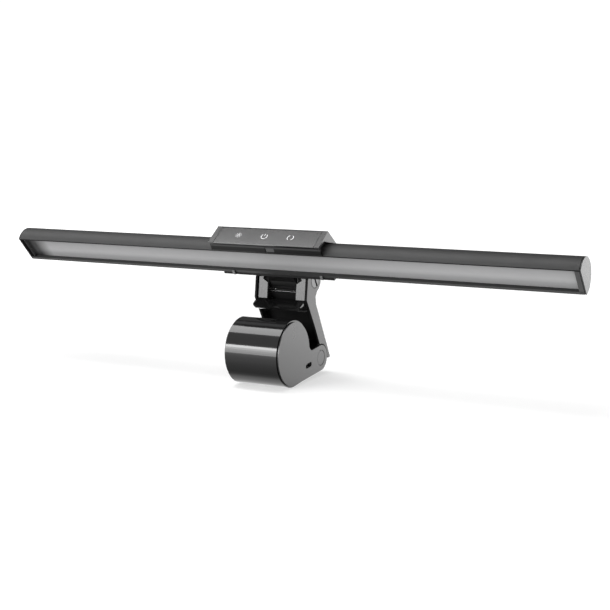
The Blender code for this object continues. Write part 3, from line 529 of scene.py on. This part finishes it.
def block_ledge(face):
    """The hook block's narrow ledge between the two front plates, just below the hinge knuckle, which takes a
    painted highlight.
    """
    middle = face.calc_center_median()
    return face.normal.z > 0.95 and abs(middle.z - LEDGE_Z) < LEDGE_MARGIN and middle.y < LEDGE_BACK_Y


def plug_wall(face):
    """The left plug's inner wall, which looks along the bar over the diffuser and takes painted light."""
    return face.normal.x > 0.9


def upper_lip(face):
    """The cut front edge of the bar's upper lip, along the top of the diffuser, which takes painted shade."""
    return face.normal.y < -0.7 and face.normal.z < -0.6 and face.calc_center_median().z > UPPER_LIP_Z


# Nodes whose faces take further finishes where a test says so: painted shade, painted highlights and painted
# light
FACE_FINISH = {"end_plug_left": (("plug_wall_painted_light", plug_wall),),
               "bar_housing": (("painted_shade_black", upper_lip),),
               "spine": (("painted_shade_black", faces_user),),
               "hook_block": (("painted_shade_black", faces_user), ("ledge_highlight", block_ledge)),
               "tilt_screw": (("painted_shade_black", slot_of_screw),),
               "tilt_nut": (("painted_shade_black", slot_of_screw),),
               "saddle": (("claw_highlight", claw_face),),
               "control_housing": (("panel_rim_shaded", panel_rim_shaded),)}

# Nodes whose rounded edges take a finish of their own: a painted highlight on the side plates and painted
# shade on the control housing
EDGE_FINISH = {"side_plate_left": "plate_edge_highlight", "side_plate_right": "plate_edge_highlight",
               "control_housing": "painted_shade_black"}

# Nodes whose finish isn't the one of their slot; the two end plugs take a shaded and a lit copy of one black
FINISH_OF_NODE = {"end_plug_left": "end_plug", "end_plug_right": "end_plug_right_lit",
                  "end_cap_left": "end_cap", "end_cap_right": "end_cap",
                  "front_plate_left": "front_plate", "front_plate_right": "front_plate",
                  "spine": "spine", "control_base": "control_base"}

# Fine copies of the CAD meshes: welding distance in metres, and in degrees the turn between two facets
# that still counts as flat, and the turn from which an edge is rounded
WELD = 2e-6
FLAT_TURN = 0.4
EDGE_TURN = 35.0
EDGE_STEPS = 3

# Radius of rounded edges in millimetres, where 0 leaves them sharp
EDGE = 0.25
EDGE_OF_NODE = {"pod_shell": 1.1, "bar_housing": 0.12, "diffuser": 0.0, "led_board": 0.0,
                "sensor_window": 0.12, "touch_panel": 0.12, "control_housing": 0.35,
                "hook_block": 0.2, "torsion_spring": 0.0, "usb_socket": 0.08,
                "side_plate_left": 0.35, "side_plate_right": 0.35,
                "end_cap_left": 0.15, "end_cap_right": 0.15}


def fine_mesh(node, finishes):
    """A welded copy of a CAD node's mesh, its flat facets merged, with its finishes on its faces."""
    mesh = frame["nodes"][node].data.copy()
    mesh.name = "fine_" + node
    bm = bmesh.new()
    bm.from_mesh(mesh)
    bmesh.ops.remove_doubles(bm, verts=bm.verts, dist=WELD)
    bmesh.ops.dissolve_limit(bm, angle_limit=math.radians(FLAT_TURN), verts=bm.verts, edges=bm.edges)
    bm.normal_update()
    mesh.materials.clear()
    mesh.materials.append(finishes[FINISH_OF_NODE.get(node, SLOT_OF_NODE[node])])
    for face in bm.faces:
        face.material_index = 0
    for index, (finish, test) in enumerate(FACE_FINISH.get(node, ()), 1):
        mesh.materials.append(finishes[finish])
        for face in filter(test, bm.faces):
            face.material_index = index
    if node in EDGE_FINISH:
        mesh.materials.append(finishes[EDGE_FINISH[node]])
    bm.to_mesh(mesh)
    bm.free()
    if mesh.attributes.get("custom_normal"):
        mesh.attributes.remove(mesh.attributes["custom_normal"])
    mesh.shade_smooth()
    return mesh


def refine(node, finishes):
    """Put a finer copy in a CAD node's place, its edges rounded and its faces shaded smooth."""
    mesh = fine_mesh(node, finishes)
    piece = bpy.data.objects.new("fine_" + node, mesh)
    bpy.context.scene.collection.objects.link(piece)
    width = EDGE_OF_NODE.get(node, EDGE)
    if width:
        edge = piece.modifiers.new("edge", "BEVEL")
        edge.width = width * MM
        edge.segments = EDGE_STEPS
        edge.limit_method = "ANGLE"
        edge.angle_limit = math.radians(EDGE_TURN)
        edge.use_clamp_overlap = True
        edge.material = len(mesh.materials) - 1 if node in EDGE_FINISH else -1
        edge.miter_outer = "MITER_ARC"
    shade = piece.modifiers.new("shade", "WEIGHTED_NORMAL")
    shade.mode = "FACE_AREA"
    shade.weight = 80
    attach(piece, BODY_OF_NODE[node])
    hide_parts(node)


# ---------------------------------------------------------------- printed icons

def ribbon(points, closed=False, stroke=ICON_STROKE):
    """Quads along a line of (across, up) points, stroke wide."""
    count = len(points)
    edges = []
    for i, (x, y) in enumerate(points):
        before = points[i - 1] if closed or i else points[i]
        after = points[(i + 1) % count] if closed or i < count - 1 else points[i]
        run = math.dist(before, after)
        aside_x = -(after[1] - before[1]) / run * stroke / 2
        aside_y = (after[0] - before[0]) / run * stroke / 2
        edges.append(((x + aside_x, y + aside_y), (x - aside_x, y - aside_y)))
    following = edges[1:] + edges[:1] if closed else edges[1:]
    return [(*edge, *reversed(after)) for edge, after in zip(edges, following)]


def ring(radius, start, end, steps=24):
    """Points along an arc from one angle to another, in degrees."""
    return [(radius * math.cos(math.radians(start + (end - start) * i / steps)),
             radius * math.sin(math.radians(start + (end - start) * i / steps))) for i in range(steps + 1)]


def icon(name, x_middle, quads, material):
    """Flat print just above the touch panel, its up direction running up the panel's slope."""
    rise = math.atan2(PANEL_REAR[1] - PANEL_FRONT[1], PANEL_REAR[0] - PANEL_FRONT[0])
    middle = ((PANEL_FRONT[0] + PANEL_REAR[0]) / 2, (PANEL_FRONT[1] + PANEL_REAR[1]) / 2)
    points = []
    faces = []
    for quad in quads:
        faces.append(tuple(range(len(points), len(points) + 4)))
        for across, up in quad:
            points.append(((x_middle + across) * MM,
                           (middle[0] + up * math.cos(rise) - ICON_LIFT * math.sin(rise)) * MM,
                           (middle[1] + up * math.sin(rise) + ICON_LIFT * math.cos(rise)) * MM))
    mesh = bpy.data.meshes.new(name)
    mesh.from_pydata(points, [], faces)
    mesh.materials.append(material)
    piece = bpy.data.objects.new(name, mesh)
    bpy.context.scene.collection.objects.link(piece)
    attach(piece, "lamp_head")
    return piece


def make_icons(material):
    reach = ICON_REACH - ICON_STROKE / 2
    sun = ribbon(ring(reach * 0.34, 0, 360, 24)[:-1], True, ICON_STROKE_FINE)
    for turn in range(8):
        angle = math.radians(45 * turn)
        ray = [(reach * r * math.cos(angle), reach * r * math.sin(angle)) for r in (0.64, 1.08)]
        sun += ribbon(ray, stroke=ICON_STROKE_FINE)
    power = ribbon(ring(reach, 130, 410, 36)) + ribbon([(0.0, 0.7), (0.0, reach + 0.4)])
    arcs = ribbon(ring(reach, 118, 242)) + ribbon(ring(reach, -62, 62))
    icon("icon_brightness", ICON_MIDDLE_X - ICON_SPACING, sun, material)
    icon("icon_power", ICON_MIDDLE_X, power, material)
    icon("icon_warmth", ICON_MIDDLE_X + ICON_SPACING, arcs, material)


# ---------------------------------------------------------------- assembly

make_camera()
make_lights()
make_world()
make_floor()
materials = make_materials()
for node_name in sorted(frame["nodes"]):
    refine(node_name, materials)
make_icons(materials["icon_print"])

bpy.context.scene.view_settings.view_transform = "Standard"
